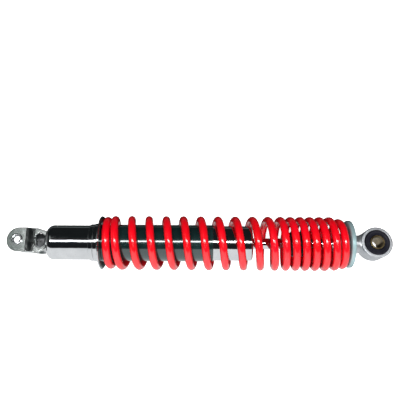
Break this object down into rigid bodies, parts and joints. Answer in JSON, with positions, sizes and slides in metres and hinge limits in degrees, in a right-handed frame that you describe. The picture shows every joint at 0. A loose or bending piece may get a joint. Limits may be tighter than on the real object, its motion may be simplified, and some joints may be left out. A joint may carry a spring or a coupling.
{
  "type": "rear shock absorber",
  "caption": "Coil-over rear shock absorber: chrome damper tube with a forked clevis, red coil spring, plated seats, and a rubber-bushed eye at the rod end.",
  "frame": {"origin": "the middle of the clevis: on its bolt axis, midway between the two ears", "axes": "+X along the shock from the clevis to the eye, +Z along the clevis bolt axis and the eye bore towards the ear with the tapped hole, +Y across the shock"},
  "size_m": [0.3539, 0.0504, 0.0504],
  "materials": {
    "chrome": "polished",
    "rod_chrome": "ground and hard chromed",
    "zinc_steel": "zinc plated",
    "blue_zinc": "blue passivated zinc",
    "yellow_zinc": "yellow passivated zinc",
    "bare_steel": "oiled bare steel",
    "guide_alloy": "sintered or machined",
    "cast_eye": "plated casting",
    "red_paint": "gloss powder coat",
    "black_plastic": "gloss",
    "ring_plastic": "moulded",
    "black_rubber": "moulded"
  },
  "bodies": {
    "damper_body": {"clevis": "chrome", "base_stud": "zinc_steel", "clevis_lock_nut": "zinc_steel", "damper_tube": "chrome", "seat_stop_ring": "chrome", "lower_spring_seat": "chrome", "spring_sleeve": "black_plastic", "spring": "red_paint", "inner_cylinder": "bare_steel", "base_valve": "bare_steel", "base_check_plate": "bare_steel", "base_valve_pin": "bare_steel", "rod_guide": "guide_alloy", "guide_o_ring": "black_rubber", "oil_seal": "black_rubber", "tube_end_cap": "zinc_steel", "dust_wiper": "black_rubber"},
    "rod_assembly": {"piston_rod": "rod_chrome", "piston": "guide_alloy", "piston_ring": "ring_plastic", "compression_shim": "bare_steel", "rebound_shim": "bare_steel", "backing_washer": "bare_steel", "piston_nut": "bare_steel", "rebound_stop": "ring_plastic", "rod_lock_nut": "zinc_steel", "seat_washer": "zinc_steel", "upper_spring_seat": "blue_zinc", "eye": "cast_eye", "eye_rubber_bush": "black_rubber"},
    "bump_stop_body": {"bump_stop": "black_rubber"},
    "eye_sleeve_body": {"eye_sleeve": "yellow_zinc"}
  },
  "joints": [
    {"name": "rod_slide", "type": "slide", "parent": "damper_body", "child": "rod_assembly", "axis": [-1, 0, 0], "range_m": [0, 0.0565], "stiffness_N_per_m": 18000, "springref_m": -0.004, "deforming": ["spring"]},
    {"name": "bump_stop_slide", "type": "slide", "parent": "rod_assembly", "child": "bump_stop_body", "axis": [1, 0, 0], "range_m": [0, 0.0226]},
    {"name": "bush_twist", "type": "hinge", "parent": "rod_assembly", "child": "eye_sleeve_body", "pos_m": [0.33, 0, 0], "axis": [0, 0, 1], "range_deg": [-12, 12], "stiffness_Nm_per_rad": 3}
  ],
  "couplings": [
    {"joint": "bump_stop_slide", "follows": "rod_slide", "ratio": 0.4}
  ]
}
